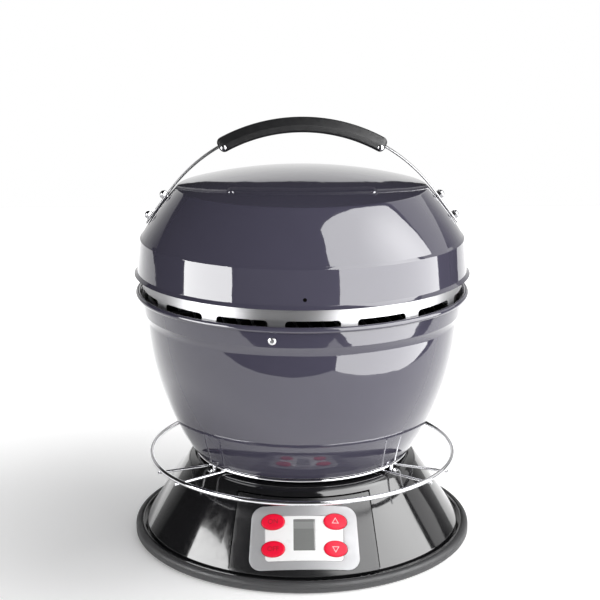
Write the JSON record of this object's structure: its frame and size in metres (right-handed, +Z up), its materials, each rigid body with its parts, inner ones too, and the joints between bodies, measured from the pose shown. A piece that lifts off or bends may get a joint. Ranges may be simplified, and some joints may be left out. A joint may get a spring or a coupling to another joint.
{
  "type": "portable wood-fired grill",
  "caption": "Tabletop wood-fired grill: enamelled bowl and domed lid with bow handle on a wire seat over a conical fan base with a front control panel.",
  "frame": {"origin": "middle of the floor contact, under the centre of the base", "axes": "+Z up, -Y to the front with the control panel, +X to the right seen from the front"},
  "size_m": [0.3799, 0.38, 0.4689],
  "materials": {
    "enamel": "gloss vitreous enamel, grey-violet",
    "gloss_black": "gloss",
    "inner_black": "satin",
    "rubber_grey": "matte",
    "brushed_steel": "brushed",
    "dark_steel": "satin dark coating",
    "chrome_wire": "polished",
    "silver_trim": "silver satin",
    "label_white": "gloss",
    "display_grey": "gloss",
    "button_red": "satin gloss",
    "grip_black": "satin",
    "board_green": "satin",
    "lead_black": "satin"
  },
  "bodies": {
    "base": {"base_shell": "gloss_black", "console": "gloss_black", "control_bezel": "silver_trim", "control_label": "label_white", "display_window": "display_grey", "display_module": "display_grey", "button_switches": "inner_black", "control_board": "board_green", "board_screws": "brushed_steel", "base_tray": "gloss_black", "bumper_ring": "rubber_grey", "rubber_feet": "rubber_grey", "tray_screws": "brushed_steel", "blower_housing": "inner_black", "blower_screws": "brushed_steel", "fan_motor": "brushed_steel", "air_duct": "inner_black", "seat_gasket": "rubber_grey", "power_inlet": "inner_black", "power_lead": "lead_black", "fan_lead": "lead_black", "guard_outer_ring": "chrome_wire", "guard_inner_ring": "chrome_wire", "guard_spokes": "chrome_wire", "frame_clips": "chrome_wire", "frame_clip_screws": "chrome_wire"},
    "fan": {"motor_shaft": "chrome_wire", "impeller": "inner_black"},
    "on_key": {"on_button": "button_red"},
    "off_key": {"off_button": "button_red"},
    "up_key": {"up_button": "button_red"},
    "down_key": {"down_button": "button_red"},
    "bowl": {"fire_bowl": "enamel", "vent_ring": "brushed_steel", "vent_ring_screws": "chrome_wire", "vent_ring_nuts": "brushed_steel", "inner_liner": "brushed_steel"},
    "cup": {"fire_cup": "brushed_steel", "flame_diffuser": "brushed_steel"},
    "grate": {"cooking_grate": "dark_steel"},
    "lid": {"lid_shell": "enamel", "handle_bow": "brushed_steel", "grip_front_half": "grip_black", "grip_rear_half": "grip_black", "grip_screws": "chrome_wire", "handle_bolts": "chrome_wire", "handle_nuts": "chrome_wire"}
  },
  "joints": [
    {"name": "fan_spin", "type": "hinge", "parent": "base", "child": "fan", "pos_m": [0, 0, 0.03], "axis": [0, 0, 1], "continuous": true},
    {"name": "on_press", "type": "slide", "parent": "base", "child": "on_key", "axis": [0, 0.8014, -0.5981], "range_m": [0, 0.0012], "stiffness_N_per_m": 500, "springref_m": -0.0006},
    {"name": "off_press", "type": "slide", "parent": "base", "child": "off_key", "axis": [0, 0.8014, -0.5981], "range_m": [0, 0.0012], "stiffness_N_per_m": 500, "springref_m": -0.0006},
    {"name": "up_press", "type": "slide", "parent": "base", "child": "up_key", "axis": [0, 0.8014, -0.5981], "range_m": [0, 0.0012], "stiffness_N_per_m": 500, "springref_m": -0.0006},
    {"name": "down_press", "type": "slide", "parent": "base", "child": "down_key", "axis": [0, 0.8014, -0.5981], "range_m": [0, 0.0012], "stiffness_N_per_m": 500, "springref_m": -0.0006},
    {"name": "bowl_lift", "type": "slide", "parent": "base", "child": "bowl", "axis": [0, 0, 1], "range_m": [0, 0.12]},
    {"name": "cup_lift", "type": "slide", "parent": "bowl", "child": "cup", "axis": [0, 0, 1], "range_m": [0, 0.045]},
    {"name": "grate_lift", "type": "slide", "parent": "bowl", "child": "grate", "axis": [0, 0, 1], "range_m": [0, 0.02]},
    {"name": "lid_lift", "type": "slide", "parent": "bowl", "child": "lid", "axis": [0, 0, 1], "range_m": [0, 0.25]}
  ]
}
